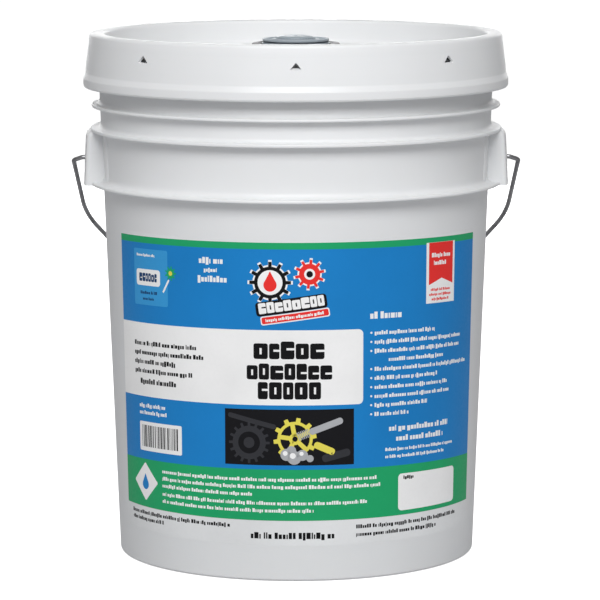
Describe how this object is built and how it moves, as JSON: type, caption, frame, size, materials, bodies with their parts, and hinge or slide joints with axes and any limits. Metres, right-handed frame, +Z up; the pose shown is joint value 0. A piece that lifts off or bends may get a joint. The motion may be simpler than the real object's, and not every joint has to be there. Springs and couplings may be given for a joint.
{
  "type": "pail",
  "caption": "Round tapered plastic shipping pail with a press-on lid, a pull-up pour spout, a wire bail with a grip, and a printed wrap label.",
  "frame": {"origin": "centre of the foot ring, on the surface the pail stands on", "axes": "+Z up; the label faces -Y; the bail's ears are at +X and -X; the bail hangs against the rear wall at +Y"},
  "size_m": [0.332, 0.3148, 0.3846],
  "materials": {
    "pail_white": "satin moulded polyethylene",
    "lid_white": "satin moulded polyethylene",
    "label_print": "printed film, semi-gloss",
    "wire_steel": "galvanised wire",
    "ring_steel": "tinplate",
    "gasket_foam": "matt foam",
    "spout_natural": "satin moulded polyethylene",
    "cap_grey": "satin moulded polyethylene"
  },
  "bodies": {
    "pail": {"pail_body": "pail_white", "label": "label_print"},
    "bail": {"bail_wire": "wire_steel"},
    "grip": {"bail_grip": "pail_white"},
    "lid": {"lid": "lid_white", "lid_gasket": "gasket_foam", "spout_crimp_ring": "ring_steel", "spout_bellows": "spout_natural"},
    "spout": {"spout_neck": "spout_natural", "tear_out_seal": "spout_natural"},
    "cap_carrier": {"cap_liner": "gasket_foam"},
    "cap": {"spout_cap": "cap_grey"},
    "pull_ear_front": {"pull_ear_front": "cap_grey"},
    "pull_ear_rear": {"pull_ear_rear": "cap_grey"}
  },
  "joints": [
    {"name": "bail_swing", "type": "hinge", "parent": "pail", "child": "bail", "pos_m": [0, 0, 0.292], "axis": [1, 0, 0], "range_deg": [0, 255]},
    {"name": "grip_spin", "type": "hinge", "parent": "bail", "child": "grip", "pos_m": [0, 0.14853, 0.17512], "axis": [1, 0, 0], "continuous": true},
    {"name": "lid_lift", "type": "slide", "parent": "pail", "child": "lid", "axis": [0, 0, 1], "range_m": [0, 0.06]},
    {"name": "spout_pull", "type": "slide", "parent": "lid", "child": "spout", "axis": [0, 0, 1], "range_m": [0, 0.06], "deforming": ["spout_bellows"]},
    {"name": "cap_lift", "type": "slide", "parent": "spout", "child": "cap_carrier", "axis": [0, 0, 1], "range_m": [0, 0.0101]},
    {"name": "cap_turn", "type": "hinge", "parent": "cap_carrier", "child": "cap", "pos_m": [0, 0, 0.376], "axis": [0, 0, 1], "range_deg": [0, 900]},
    {"name": "pull_ear_front_fold", "type": "hinge", "parent": "cap", "child": "pull_ear_front", "pos_m": [0, -0.002, 0.3786], "axis": [-1, 0, 0], "range_deg": [0, 90]},
    {"name": "pull_ear_rear_fold", "type": "hinge", "parent": "cap", "child": "pull_ear_rear", "pos_m": [0, 0.002, 0.3786], "axis": [1, 0, 0], "range_deg": [0, 90]}
  ],
  "couplings": [
    {"joint": "cap_lift", "follows": "cap_turn", "m_per_rad": 0.00063662}
  ]
}
